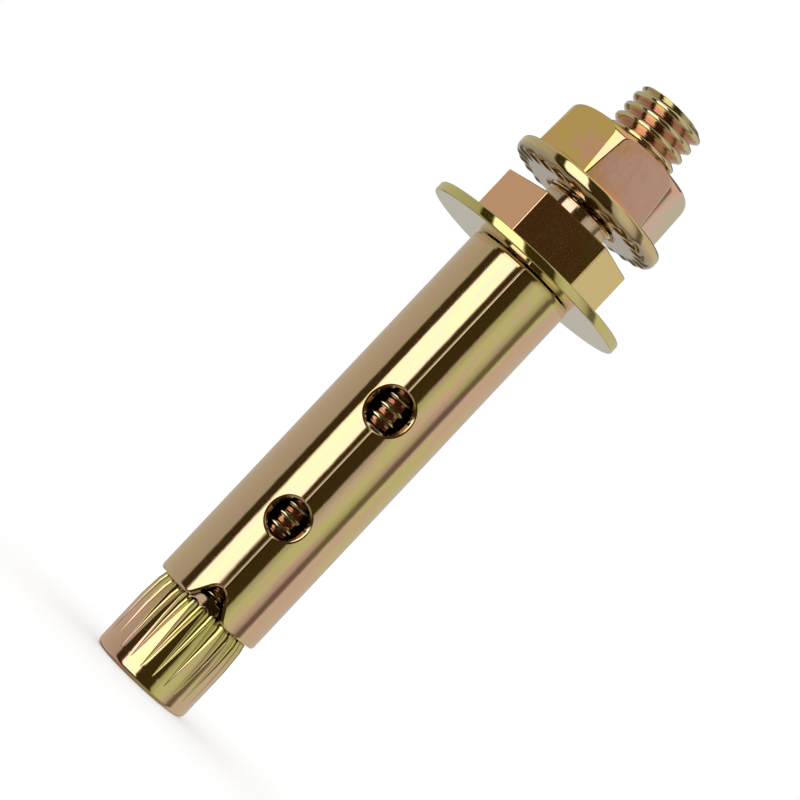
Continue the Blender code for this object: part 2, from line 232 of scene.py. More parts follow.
def groove_depth(angles, heights, crest_height):
    """How far the thread's surface lies inside its crest, for a right-hand thread."""
    turns = (heights - crest_height) / PITCH - angles / math.tau
    from_crest = np.hypot((turns - np.round(turns)) * PITCH, CREST_ROUND)
    flank = (from_crest - CREST_ROUND - CREST_HALF_WIDTH) * FLANK_SLOPE
    lost = soft_ramp(-CREST_HALF_WIDTH * FLANK_SLOPE, CREST_ROUND)
    return soft_ramp(flank, CREST_ROUND) - lost - soft_ramp(flank - THREAD_DEPTH, ROOT_ROUND)


print(f"groove {groove_depth(0, PITCH / 2, 0) / MM:.2f} mm deep at its root")

# %% [markdown]
# ## The stud
#
# The stud is one steel bar. Its shank runs down inside the sleeve and shows through the holes. Above
# the hex collar come a smooth neck and the threaded tip. A grid's radius is the smaller of an outline
# and the thread, so the thread runs out by itself at the chamfers and the neck. The bar is made as two
# such grids, a coarse one for the shank and a fine one for the tip, whose ends meet inside the collar.

# %% Sizes of the bar
COLLAR_FOOT = WASHER_HIGH.z + 0.1 * MM
COLLAR_TOP = 58.82 * MM
THREAD_RADIUS = 3.9 * MM
NECK_RADIUS = 3.66 * MM
HIDDEN_STEP_FOOT = COLLAR_TOP - 0.3 * MM
HIDDEN_STEP_TOP = COLLAR_TOP - 0.2 * MM
TIP_THREAD_FOOT = COLLAR_TOP + 1.45 * MM
END_CHAMFER = 0.4 * MM
STUD_FOOT = STUD_LOW.z
STUD_TOP = STUD_HIGH.z
print(f"stud from {STUD_FOOT / MM:.2f} to {STUD_TOP / MM:.2f} mm")


# %% The outline of the bar
def bar_outline(heights):
    """The bar without its thread: chamfered ends and a neck between collar and tip."""
    knots = [
        (STUD_FOOT, THREAD_RADIUS - END_CHAMFER), (STUD_FOOT + END_CHAMFER, THREAD_RADIUS),
        (HIDDEN_STEP_FOOT, THREAD_RADIUS), (HIDDEN_STEP_TOP, NECK_RADIUS),
        (TIP_THREAD_FOOT, NECK_RADIUS), (TIP_THREAD_FOOT + THREAD_RADIUS - NECK_RADIUS, THREAD_RADIUS),
        (STUD_TOP - END_CHAMFER, THREAD_RADIUS), (STUD_TOP, THREAD_RADIUS - END_CHAMFER),
    ]
    return np.interp(heights, [height for height, _ in knots], [radius for _, radius in knots])


for place, height in (("neck", COLLAR_TOP), ("tip", STUD_TOP)):
    print(f"radius at the {place}: {bar_outline(height) / MM:.2f} mm")

# %% The threaded bar
RUN_OUT = 0.9 * MM
WELD_DISTANCE = 0.0002 * MM


def threaded_bar(name, foot, top, crest_height, fades, columns, rows_per_pitch):
    """A bar whose rows of points climb with the thread, so that its crests stay smooth."""
    turns = np.linspace(0, 1, columns + 1)[None, :]
    rise = PITCH / rows_per_pitch
    starts = np.arange(foot - PITCH, top + rise, rise)[:, None]
    heights = np.clip(starts + PITCH * turns, foot, top)
    angles = turns * math.tau
    fade = np.clip((heights - fades[0]) / RUN_OUT, 0, 1) * np.clip((fades[1] - heights) / RUN_OUT, 0, 1)
    thread = THREAD_RADIUS - fade * groove_depth(angles, heights, crest_height)
    grid = ring_grid(np.minimum(bar_outline(heights), thread), heights, angles)
    rows, count = grid.shape[:2]
    index = np.arange(rows * count).reshape(rows, count)
    quads = np.stack([index[:-1, :-1], index[:-1, 1:], index[1:, 1:], index[1:, :-1]], axis=-1)
    mesh = bpy.data.meshes.new(name)
    mesh.from_pydata(grid.reshape(-1, 3).tolist(), [], quads.reshape(-1, 4).tolist())
    shape = bmesh.new()
    shape.from_mesh(mesh)
    bmesh.ops.remove_doubles(shape, verts=shape.verts[:], dist=WELD_DISTANCE)
    open_edges = [edge for edge in shape.edges if edge.is_boundary]
    bmesh.ops.holes_fill(shape, edges=open_edges, sides=0)
    bmesh.ops.recalc_face_normals(shape, faces=shape.faces[:])
    shape.to_mesh(mesh)
    shape.free()
    mesh.shade_smooth()
    return mesh


print(f"threads run out over {RUN_OUT / MM:.1f} mm")

# %% [markdown]
# The hex collar is forged on the bar. Its edges are nearly square, with a small rounding that catches
# the light as a thin bright line. A bevel makes that rounding, and a Weighted Normal modifier keeps
# the large flats flat, so they mirror the studio without a curve in them.

# %% The hex collar
COLLAR_FLATS = 13.13 * MM
COLLAR_TURN = math.radians(3.2)
COLLAR_ROUND = 0.17 * MM
HEX_CORNER = math.pi / 6


def collar_shape():
    """The hex prism with rounded edges."""
    height = COLLAR_TOP - COLLAR_FOOT
    corner_radius = COLLAR_FLATS / 2 / math.cos(HEX_CORNER)
    place = Matrix.Translation((0, 0, COLLAR_FOOT + height / 2))
    place = place @ Matrix.Rotation(HEX_CORNER + COLLAR_TURN, 4, "Z")
    shape = bmesh.new()
    bmesh.ops.create_cone(
        shape, cap_ends=True, segments=6, depth=height,
        radius1=corner_radius, radius2=corner_radius, matrix=place,
    )
    bmesh.ops.bevel(
        shape, geom=shape.edges[:], offset=COLLAR_ROUND, segments=4, profile=0.5, affect="EDGES",
    )
    for face in shape.faces:
        face.smooth = True
    return shape


print(f"collar {COLLAR_FLATS / MM:.2f} mm across flats, {(COLLAR_TOP - COLLAR_FOOT) / MM:.1f} mm tall")

# %% Join the bar and the collar
SHANK_END = COLLAR_FOOT + 2 * MM
SHANK_FADES = (0, SHANK_END)
SHANK_COLUMNS = 60
SHANK_ROWS_PER_PITCH = 12
TIP_START = COLLAR_TOP - MM
FAR_ABOVE = 1
TIP_FADES = (TIP_THREAD_FOOT, FAR_ABOVE)
TIP_COLUMNS = 180
TIP_ROWS_PER_PITCH = 22


def stud_mesh():
    """The collar, the coarser shank inside the sleeve and the fine tip, as one mesh."""
    shank = threaded_bar(
        "shank", STUD_FOOT, SHANK_END, SHANK_CREST_HEIGHT, SHANK_FADES,
        SHANK_COLUMNS, SHANK_ROWS_PER_PITCH,
    )
    mesh = threaded_bar(
        "tip", TIP_START, STUD_TOP, TIP_CREST_HEIGHT, TIP_FADES,
        TIP_COLUMNS, TIP_ROWS_PER_PITCH,
    )
    shape = collar_shape()
    shape.from_mesh(shank)
    shape.from_mesh(mesh)
    shape.to_mesh(mesh)
    shape.free()
    return mesh


stud = piece_from("stud_with_collar", stud_mesh(), "stud", "stud", sharp_from=50)
stud.modifiers.new("flat flats", "WEIGHTED_NORMAL").keep_sharp = True

# %% [markdown]
# ## The cone nut
#
# The cone nut is pressed with 24 flutes. Each starts as a point above the plain foot and gets deeper
# and wider towards the sleeve. Its section is an arc, as a ball-shaped tool leaves it, because that
# hollow is what mirrors the softbox as broad leaves of light all round the nut. The columns of the
# grid slide with the edges of the flutes, which keeps those edges clean, and a soft minimum rounds
# them.

# %% Sizes of the cone nut
CONE_TOP = CONE_HIGH.z
BORE_RADIUS = THREAD_RADIUS + 0.1 * MM
PILOT_RADIUS = 4.68 * MM
FLUTE_COUNT = 24
FLUTE_FOOT = 1.7 * MM
FLUTE_TOP = SLEEVE_FOOT + 0.7 * MM
FLUTE_HALF_WIDTH = 0.65 * MM
FLUTE_DEPTH = 0.38 * MM
FLUTE_FLOOR = PILOT_RADIUS + 0.02 * MM
ball_radius = (FLUTE_HALF_WIDTH**2 + FLUTE_DEPTH**2) / (2 * FLUTE_DEPTH)
print(f"flutes as cut by a ball of radius {ball_radius / MM:.2f} mm")


# %% The flutes
RIB_ROUND = 0.016 * MM
EDGE_SHARES = (0, 0.22, 0.43, 0.61, 0.75, 0.87, 0.95, 1, 1.15, 1.5, 2)


def soft_minimum(first, second, rounding):
    """The smaller of two surfaces, with a rounded edge where they meet."""
    return first - soft_ramp(first - second, rounding)


def fluted(radii, heights):
    """Angles and radii of the fluted surface. Shares up to 1 lie in a flute and the others on a rib."""
    half_step = math.pi / FLUTE_COUNT
    grown = np.clip((heights - FLUTE_FOOT) / (FLUTE_TOP - FLUTE_FOOT), 0, 1)
    edge = FLUTE_HALF_WIDTH / CONE_RADIUS * grown
    shares = np.array(EDGE_SHARES)[None, :]
    off = np.where(shares <= 1, edge * shares, edge + (half_step - edge) * (shares - 1))
    ball = np.sqrt(np.maximum(ball_radius**2 - (shares * FLUTE_HALF_WIDTH)**2, 0))
    trough = radii - grown * (ball - ball_radius + FLUTE_DEPTH)
    cut = np.maximum(soft_minimum(radii, trough, RIB_ROUND), FLUTE_FLOOR)
    off = np.concatenate([-off[:, :0:-1], off[:, :-1]], axis=1)
    cut = np.concatenate([cut[:, :0:-1], cut[:, :-1]], axis=1)
    starts = np.arange(FLUTE_COUNT) * 2 * half_step + half_step
    angles = (starts[None, :, None] + off[:, None, :]).reshape(len(radii), -1)
    return angles, np.tile(cut, (1, FLUTE_COUNT))


rib_width = math.tau * CONE_RADIUS / FLUTE_COUNT - 2 * FLUTE_HALF_WIDTH
print(f"ribs {rib_width / MM:.2f} mm wide at the top of the flutes")

# %% The section of the cone nut
BORE_CHAMFER = 0.35 * MM
FOOT_ROUND = 0.6 * MM
FLANK_BEND_HEIGHT = 6.0 * MM
FLANK_ROUND = 8 * MM
SHOULDER_RADIUS = CONE_RADIUS - 0.16 * MM
SHOULDER_FOOT = SLEEVE_FOOT - MM
SHOULDER_ROUND = 0.9 * MM
MOUTH_RADIUS = 5.0 * MM
PILOT_FOOT = SLEEVE_FOOT + 0.2 * MM
PILOT_END_ROUND = 0.15 * MM
BROKEN_EDGE = 0.05 * MM
BORE_EDGE = 0.03 * MM
CONE_ROW = 0.15 * MM


def cone_section():
    """Rows of radii and heights round the closed section, from the foot to the pilot and the bore."""
    section = rounded([
        (BORE_RADIUS + BORE_CHAMFER, 0, BROKEN_EDGE),
        (CONE_RADIUS, 0, FOOT_ROUND),
        (CONE_RADIUS, FLANK_BEND_HEIGHT, FLANK_ROUND),
        (SHOULDER_RADIUS, SHOULDER_FOOT, SHOULDER_ROUND),
        (MOUTH_RADIUS, SLEEVE_FOOT, BROKEN_EDGE),
        (PILOT_RADIUS, PILOT_FOOT, BROKEN_EDGE),
        (PILOT_RADIUS, CONE_TOP, PILOT_END_ROUND),
        (BORE_RADIUS, CONE_TOP, BORE_EDGE),
        (BORE_RADIUS, BORE_CHAMFER, 0),
    ], steps=6)
    return fine_section([*section, section[0]], CONE_ROW)[:-1]


cone_rows = cone_section()
print(f"{len(cone_rows)} rows round the section of the cone nut")

# %% The fluted grid
HAIR = 0.001 * MM
BORE_MARGIN = 0.01 * MM
BORE_THREAD_FOOT = 0.4 * MM
BORE_THREAD_SHARE = 0.35


def bore_thread(angles, heights, crest_height):
    """Radii of a bore with a shallow thread, whose crests meet the grooves of the stud's thread."""
    groove = groove_depth(angles, heights, crest_height)
    return BORE_RADIUS + BORE_THREAD_SHARE * (THREAD_DEPTH - groove)


def cone_mesh():
    """The closed section of the nut, with flutes in its flank and a thread in its bore."""
    radii, heights = cone_rows[:, :1], cone_rows[:, 1:]
    angles, surface = fluted(radii, heights)
    plain = (radii < PILOT_RADIUS + HAIR) | (heights <= FLUTE_FOOT)
    surface = np.where(plain, radii, surface)
    in_bore = (radii < BORE_RADIUS + BORE_MARGIN) & (heights > BORE_THREAD_FOOT)
    surface = np.where(in_bore, bore_thread(angles, heights, SHANK_CREST_HEIGHT), surface)
    return grid_mesh("expander_cone", ring_grid(surface, heights, angles))


cone_nut = piece_from("fluted_cone_nut", cone_mesh(), "cone", "expander_cone", sharp_from=60)

# %% [markdown]
# ## The sleeve
#
# The sleeve starts as a flat blank of sheet steel. Its two long edges carry half of each hole and half
# of the notch, so they meet along the seam when the blank is rolled. It is made here in the same order.
# First comes half of the outline, as lines and arcs. Blanking draws the outer edge down a little, which
# shows as a soft bright rim round each hole, so rings inside the outline follow that dip. Then the
# plate is cut into narrow strips and bent into a tube.

# %% Sizes of the blank
SLEEVE_WALL = 0.9 * MM
SEAM_GAP = 0.06 * MM
SEAM_TURN = math.radians(-1.2)
HOLES = [(11.3 * MM, 2.1 * MM), (24.9 * MM, 2.35 * MM)]
NOTCH_WIDTH = 4.3 * MM
NOTCH_DEPTH = 2.55 * MM
NOTCH_APEX = 1.0 * MM
NOTCH_CORNER = 0.7 * MM
seam_x = math.pi * SLEEVE_RADIUS
print(f"blank {2 * seam_x / MM:.1f} x {SLEEVE_LENGTH / MM:.1f} mm")


# %% The outline of the blank
NOTCH_ARC_POINTS = 14
HOLE_ARC_POINTS = 48


def arc_points(centre, radius, start, end, count):
    """Points on an arc, from one angle to the other."""
    return [
        centre + radius * Vector((math.cos(angle), math.sin(angle)))
        for angle in np.linspace(start, end, count)
    ]


def notch_points():
    """One side of the notch: a rounded corner on the foot, a straight flank and the apex arc."""
    rim = Vector((seam_x - NOTCH_WIDTH / 2, 0))
    centre = Vector((seam_x, NOTCH_DEPTH - NOTCH_APEX))
    to_rim = rim - centre
    start = math.atan2(to_rim.y, to_rim.x) % math.tau - math.acos(NOTCH_APEX / to_rim.length)
    end = math.pi / 2 + math.asin(SEAM_GAP / 2 / NOTCH_APEX)
    apex = arc_points(centre, NOTCH_APEX, start, end, NOTCH_ARC_POINTS)
    corners = [(0, 0, 0), (rim.x, rim.y, NOTCH_CORNER), (apex[0].x, apex[0].y, 0)]
    corner = [Vector(point) for point in rounded(corners, steps=8)[1:-1]]
    return corner + apex


def blank_points():
    """Half an outline from the foot up to the top of the seam, and its mirror image."""
    side = notch_points()
    for height, radius in HOLES:
        centre = Vector((seam_x, height))
        lean = math.asin(SEAM_GAP / 2 / radius)
        side += arc_points(centre, radius, 1.5 * math.pi - lean, math.pi / 2 + lean, HOLE_ARC_POINTS)
    side.append(Vector((seam_x - SEAM_GAP / 2, SLEEVE_LENGTH)))
    return side + [Vector((-point.x, point.y)) for point in reversed(side)]


outline = blank_points()
print(f"outline of {len(outline)} points")

# %% [markdown]
# The dip of a blanked edge is deep and narrow where the punch went in, and it fades out smoothly. The
# ends of the tube have the widest dip, the holes and the notch a narrower one, and the seam hardly
# any, because its two edges were pressed against each other.

# %% The dip along the edge
END_DIP = (0.3 * MM, 0.1 * MM)
HOLE_DIP = (0.26 * MM, 0.12 * MM)
SEAM_DIP = (0.07 * MM, 0.025 * MM)
END_MARGIN = 0.01 * MM


def dip_at(point):
    """The width and the depth of the dip at a point of the outline."""
    if min(point.y, SLEEVE_LENGTH - point.y) < END_MARGIN:
        return END_DIP
    return SEAM_DIP if seam_x - abs(point.x) < SEAM_GAP / 2 + HAIR else HOLE_DIP


print(f"the ends dip by {END_DIP[1] / MM:.2f} mm, the holes and the notch by {HOLE_DIP[1] / MM:.2f} mm")

# %% Steps into the plate
SHARPEST = 0.5
LONG_LINE = MM
NEAR_CORNER = (0.12 * MM, 0.26 * MM, 0.42 * MM)


def inward(points, index):
    """A step of one unit from an outline point into the plate, longer in a corner."""
    here = points[index]
    before = (here - points[index - 1]).normalized()
    after = (points[(index + 1) % len(points)] - here).normalized()
    normal_before = Vector((-before.y, before.x))
    normal_after = Vector((-after.y, after.x))
    middle = (normal_before + normal_after).normalized()
    return middle / max(SHARPEST, middle.dot(normal_before))


def with_corner_points(points):
    """Add points close to the ends of long lines, so that a dip can change there smoothly."""
    result = []
    for index, point in enumerate(points):
        after = points[(index + 1) % len(points)]
        length = (after - point).length
        result.append(point)
        if length > LONG_LINE:
            result += [point.lerp(after, reach / length) for reach in NEAR_CORNER]
            result += [after.lerp(point, reach / length) for reach in reversed(NEAR_CORNER)]
    return result


print(f"{len(with_corner_points(outline))} points with the ones near the corners")

# %% The plate with its dipped edge
DIP_SHARES = (1.0, 0.82, 0.62, 0.44, 0.28, 0.14, 0.05, 0.0)
SMOOTHING_ROUNDS = 3


def plate_shape():
    """The flat blank: rings of points that follow the dip, and one large face above and below."""
    points = with_corner_points(outline)
    dips = np.array([dip_at(point) for point in points])
    for _ in range(SMOOTHING_ROUNDS):
        dips = (np.roll(dips, 1, axis=0) + 2 * dips + np.roll(dips, -1, axis=0)) / 4
    steps = [inward(points, index) for index in range(len(points))]
    shape = bmesh.new()
    rings = []
    for ring, share in enumerate(DIP_SHARES):
        reach = ring / (len(DIP_SHARES) - 1)
        places = [
            (*(point + step * width * reach), -depth * share)
            for point, step, (width, depth) in zip(points, steps, dips)
        ]
        rings.append([shape.verts.new(place) for place in places])
    rings.insert(0, [shape.verts.new((point.x, point.y, -SLEEVE_WALL)) for point in points])
    for outer, inner in zip(rings, rings[1:]):
        for index in range(len(points)):
            shape.faces.new((outer[index - 1], outer[index], inner[index], inner[index - 1]))
    shape.faces.new(rings[-1])
    shape.faces.new(rings[0][::-1])
    return shape


print(f"{len(DIP_SHARES)} rings follow the dip of the edge")

# %% Roll the plate into a tube
STRIPS = 240
CUT_DISTANCE = 0.0001 * MM


def roll_plate(shape):
    """Cut the plate into strips and bend it round the Z axis, with the seam towards the front."""
    for strip in range(1, STRIPS):
        x = -seam_x + 2 * seam_x * strip / STRIPS
        to_cut = [face for face in shape.faces if max(corner.co.x for corner in face.verts) > x]
        edges = {edge for face in to_cut for edge in face.edges}
        corners = {corner for face in to_cut for corner in face.verts}
        bmesh.ops.bisect_plane(
            shape, geom=[*corners, *edges, *to_cut], dist=CUT_DISTANCE,
            plane_co=(x, 0, 0), plane_no=(1, 0, 0),
        )
    for corner in shape.verts:
        angle = -FRONT + SEAM_TURN + corner.co.x / SLEEVE_RADIUS
        radius = SLEEVE_RADIUS + corner.co.z
        corner.co = (radius * math.cos(angle), radius * math.sin(angle), SLEEVE_FOOT + corner.co.y)


def sleeve_mesh():
    """The rolled blank as a mesh."""
    shape = plate_shape()
    roll_plate(shape)
    mesh = bpy.data.meshes.new("sleeve")
    shape.to_mesh(mesh)
    shape.free()
    mesh.shade_smooth()
    return mesh


sleeve = piece_from("rolled_sleeve", sleeve_mesh(), "sleeve", "sleeve")
sleeve.modifiers.new("even shine", "WEIGHTED_NORMAL").keep_sharp = True

# %% [markdown]
# ## The washer
#
# The washer is a plain flat ring with slightly broken edges, and its underside rises by a hair towards
# the bore, as in the CAD. One rounded section is turned once round the axis. Extra rings close to the
# edges are not needed, because a Weighted Normal modifier lets the large flat faces decide the shading.

# %% The flat ring
WASHER_COLUMNS = 192
WASHER_BORE = THREAD_RADIUS + 0.3 * MM
WASHER_DISH = 0.03 * MM
RIM_EDGE = 0.16 * MM
WASHER_BORE_EDGE = 0.12 * MM


def washer_mesh():
    """One rounded section, turned once round the axis."""
    section = rounded([
        (WASHER_BORE, WASHER_LOW.z + WASHER_DISH, WASHER_BORE_EDGE),
        (WASHER_RADIUS, WASHER_LOW.z, RIM_EDGE),
        (WASHER_RADIUS, WASHER_HIGH.z, RIM_EDGE),
        (WASHER_BORE, WASHER_HIGH.z, WASHER_BORE_EDGE),
    ])
    grid = ring_grid(section[:, :1], section[:, 1:], full_turn(WASHER_COLUMNS))
    return grid_mesh("washer", grid)


washer = piece_from("flat_washer", washer_mesh(), "washer", "washer")
washer.modifiers.new("flat faces", "WEIGHTED_NORMAL").keep_sharp = True

# %% [markdown]
# ## The flange nut
#
# The nut is hot pressed from one blank, so its hex, dome and flange flow into each other. At every
# height the hex is cut by a turned envelope, a steep cone with a domed top. Its surface is the smaller
# of the two radii, which gives the curved arches above the flats for free. As on the cone nut, the
# columns slide along with the edges of the flats.

# %% Sizes of the flange nut
NUT_FOOT = NUT_LOW.z
NUT_TOP = NUT_HIGH.z
NUT_FLATS = 13.25 * MM
NUT_TURN = math.radians(13.2)
RIM_TOP = NUT_FOOT + 1.75 * MM
nut_corner = NUT_FLATS / 2 / math.cos(HEX_CORNER)
print(f"flange nut {(NUT_TOP - NUT_FOOT) / MM:.1f} mm tall, corners {2 * nut_corner / MM:.1f} mm apart")

# %% The envelope of the hex
HEX_FOOT = RIM_TOP - 0.4 * MM
HEX_FOOT_RADIUS = nut_corner - 0.05 * MM
DOME_RADIUS = nut_corner - 0.34 * MM
DOME_HEIGHT = NUT_TOP - 0.45 * MM
DOME_ROUND = 1.1 * MM
CROWN_RADIUS = nut_corner - 2.45 * MM
CROWN_ROUND = 0.4 * MM
CROWN_CHAMFER = 0.4 * MM
CHAMFER_EDGE = 0.1 * MM
CHAMFER_APEX = NUT_TOP - 2 * MM


def nut_envelope():
    """The turned section that trims the hex, from the flange up to the crown and its chamfered bore."""
    return rounded([
        (0, HEX_FOOT, 0),
        (HEX_FOOT_RADIUS, HEX_FOOT, 0),
        (DOME_RADIUS, DOME_HEIGHT, DOME_ROUND),
        (CROWN_RADIUS, NUT_TOP, CROWN_ROUND),
        (BORE_RADIUS + CROWN_CHAMFER, NUT_TOP, CHAMFER_EDGE),
        (0, CHAMFER_APEX, 0),
    ], steps=14)[1:-1]


print(f"{len(nut_envelope())} points from the flange to the crown")

# %% The section of the flange
COUNTERSINK = 0.5 * MM
RIM_ROUND = 0.8 * MM
VALLEY_RADIUS = 7.7 * MM
VALLEY_HEIGHT = RIM_TOP - 0.12 * MM
VALLEY_ROUND = 0.5 * MM
RISE_RADIUS = NUT_FLATS / 2 - 0.1 * MM
RISE_TOP = RIM_TOP + 0.48 * MM


def flange_section():
    """The countersunk foot, the rounded rim, the valley and the rise towards the hex."""
    return rounded([
        (BORE_RADIUS, NUT_FOOT + COUNTERSINK, CHAMFER_EDGE),
        (BORE_RADIUS + COUNTERSINK, NUT_FOOT, CHAMFER_EDGE),
        (FLANGE_RADIUS, NUT_FOOT, RIM_ROUND),
        (FLANGE_RADIUS, RIM_TOP, RIM_ROUND),
        (VALLEY_RADIUS, VALLEY_HEIGHT, VALLEY_ROUND),
        (RISE_RADIUS, RISE_TOP, 0),
        (BORE_RADIUS, RISE_TOP, 0),
    ], steps=6)[:-1]


print(f"{len(flange_section())} points round the flange")

# %% The hex with its dome
NUT_ROUND = 0.01 * MM
COLUMNS_PER_FLAT = 72
CREASE_SHARES = (
    0, 0.25, 0.5, 0.7, 0.82, 0.89, 0.94, 0.97, 1, 1.03, 1.07, 1.13, 1.22, 1.36, 1.55, 1.77, 2,
)


def hexed(radii):
    """Angles and radii of the trimmed hex. Shares up to 1 lie on a flat and the others on the dome."""
    edge = np.arccos(np.clip(NUT_FLATS / 2 / radii, 0, 1))
    columns = np.linspace(0, len(CREASE_SHARES) - 1, COLUMNS_PER_FLAT // 2 + 1)
    shares = np.interp(columns, range(len(CREASE_SHARES)), CREASE_SHARES)
    off = np.where(shares <= 1, edge * shares, edge + (HEX_CORNER - edge) * (shares - 1))
    surface = soft_minimum(radii, NUT_FLATS / 2 / np.cos(off), NUT_ROUND)
    off = np.concatenate([-off[:, :0:-1], off[:, :-1]], axis=1)
    surface = np.concatenate([surface[:, :0:-1], surface[:, :-1]], axis=1)
    starts = FRONT + NUT_TURN + np.arange(6) * 2 * HEX_CORNER
    angles = (starts[None, :, None] + off[:, None, :]).reshape(len(radii), -1)
    return angles, np.tile(surface, (1, 6))


print(f"{6 * COLUMNS_PER_FLAT} columns round the nut")

# %% The teeth below the flange
TOOTH_COUNT = 24
TOOTH_DEPTH = 0.14 * MM
TOOTH_SKEW = 1.5
TEETH_FROM = 6.6 * MM
TEETH_RUN_IN = 0.6 * MM
TEETH_HEIGHT = 0.4 * MM


def tooth_lift(angles, radii, heights):
    """How far the underside is cut up, in slanting waves that fade out towards the bore."""
    in_tooth = (angles * TOOTH_COUNT / math.tau) % 1
    wave = 0.5 + 0.5 * np.cos(math.tau * in_tooth**TOOTH_SKEW)
    ring = np.clip((radii - TEETH_FROM) / TEETH_RUN_IN, 0, 1)
    rim = np.clip(1 - (heights - NUT_FOOT) / TEETH_HEIGHT, 0, 1)
    return TOOTH_DEPTH * wave * ring * rim


print(f"{TOOTH_COUNT} teeth, {TOOTH_DEPTH / MM:.2f} mm deep")

# %% The nut's grid
FLANGE_ROW = 0.3 * MM
HEX_ROW = 0.25 * MM
BORE_TOP = NUT_TOP - 0.5 * MM
BORE_FOOT = NUT_FOOT + 0.6 * MM
BORE_ROWS = 36


def nut_mesh():
    """Three parts of one closed grid: the toothed flange, the hex with its dome and the bore."""
    flange_rows = fine_section(flange_section(), FLANGE_ROW)
    hex_rows = fine_section(nut_envelope(), HEX_ROW)
    flange_angles = full_turn(6 * COLUMNS_PER_FLAT)[None, :] + FRONT + NUT_TURN - HEX_CORNER
    flange_radii, flange_heights = flange_rows[:, :1], flange_rows[:, 1:]
    lifted = flange_heights + tooth_lift(flange_angles, flange_radii, flange_heights)
    foot = ring_grid(flange_radii, lifted, flange_angles)
    hex_angles, hex_surface = hexed(hex_rows[:, :1])
    body = ring_grid(hex_surface, hex_rows[:, 1:], hex_angles)
    bore_heights = np.linspace(BORE_TOP, BORE_FOOT, BORE_ROWS)[:, None]
    bore_radii = bore_thread(flange_angles, bore_heights, TIP_CREST_HEIGHT)
    bore = ring_grid(bore_radii, bore_heights, flange_angles)
    return grid_mesh("flange_nut", np.concatenate([foot, body, bore]))


flange_nut = piece_from("flange_nut_with_teeth", nut_mesh(), "nut", "flange_nut", sharp_from=50)

# %% [markdown]
# ## The plating
#
# Zinc with a yellow chromate film is a mirror with a tint: mostly straw yellow, with streaks that lean
# to pink and to green where the film is thinner or thicker. The shader is plain polished metal. Only
# its colour, its roughness and a faint waviness change over the surface. An image could hold all that,
# but nodes need no file and have no seam. First come a few helpers that add and join nodes.

# %% Nodes and noise
def add_node(tree, kind, **values):
    """Add a node and set its attributes and, by their names, its inputs."""
    node = tree.nodes.new("ShaderNode" + kind)
    for name, value in values.items():
        if hasattr(node, name):
            setattr(node, name, value)
        else:
            node.inputs[name.replace("_", " ")].default_value = value
    return node


def noise(tree, place, scale, detail=2.0, roughness=0.5):
    """Soft noise between 0 and 1, whose patches are about one over the scale across."""
    node = add_node(tree, "TexNoise", Scale=scale, Detail=detail, Roughness=roughness)
    tree.links.new(place, node.inputs["Vector"])
    return node.outputs["Fac"]


print("two helpers, for any node and for noise")


# %% Ramps, sums and mixes
def ramp(tree, value, stops):
    """A colour ramp through (position, colour or grey) stops."""
    node = add_node(tree, "ValToRGB")
    elements = node.color_ramp.elements
    while len(elements) < len(stops):
        elements.new(1.0)
    for index, (position, shade) in enumerate(stops):
        elements[index].position = position
        elements[index].color = (*shade, 1) if isinstance(shade, tuple) else (shade, shade, shade, 1)
    tree.links.new(value, node.inputs["Fac"])
    return node.outputs["Color"]


def calculate(tree, operation, *values):
    """A Math node of links and plain numbers."""
    node = add_node(tree, "Math", operation=operation)
    for socket, value in zip(node.inputs, values):
        if isinstance(value, (int, float)):
            socket.default_value = value
        else:
            tree.links.new(value, socket)
    return node.outputs[0]


def mix_colours(tree, factor, first, second):
    """The first colour where the factor is 0, and the second where it is 1."""
    node = add_node(tree, "Mix", data_type="RGBA")
    tree.links.new(factor, node.inputs["Factor"])
    for socket, shade in ((node.inputs["A"], first), (node.inputs["B"], second)):
        if isinstance(shade, tuple):
            socket.default_value = (*shade, 1)
        else:
            tree.links.new(shade, socket)
    return node.outputs["Result"]


print("three helpers, for ramps, for sums and for mixed colours")

# %% [markdown]
# One number stands for the thickness of the film. It drifts from one side of the piece to the other,
# as the bath runs off it, and noise varies it in patches. On the sleeve the patches are stretched into
# streaks along the axis. A ramp then gives the tints in their order as the film grows thicker. Where a
# face or a rim has a tint of its own, a layer puts another tint there, by the distance from the axis or
# by the height. Other layers are painted shade, by the same measures: dark tints inside the tube, on
# the cone nut inside the sleeve's mouth, in the roots of the thread and under the flange.

# %% The film of chromate
FILM_FROM = 0.3
FILM_TO = 0.7
SEED_STEP = (0.37, 0.11, 0.23)


def film_tint(tree, place, seed, tints, patch, mottle, stretch, drift, level):
    """The tints in their order, by a film whose thickness drifts along X and varies in patches."""
    shifted = add_node(tree, "Mapping", Location=[seed * step for step in SEED_STEP])
    shifted.inputs["Scale"].default_value = (1, 1, 1 / stretch)
    tree.links.new(place, shifted.inputs["Vector"])
    axes = add_node(tree, "SeparateXYZ")
    tree.links.new(place, axes.inputs[0])
    patches = noise(tree, shifted.outputs["Vector"], 1 / patch, detail=4.0, roughness=0.62)
    mottled = calculate(tree, "MULTIPLY_ADD", patches, mottle, level + 0.5 * (1 - mottle))
    film = calculate(tree, "MULTIPLY_ADD", axes.outputs["X"], drift / MM, mottled)
    step = (FILM_TO - FILM_FROM) / (len(tints) - 1)
    return ramp(tree, film, [(FILM_FROM + step * index, tint) for index, tint in enumerate(tints)])


print(f"tints are spread over noise from {FILM_FROM} to {FILM_TO}")


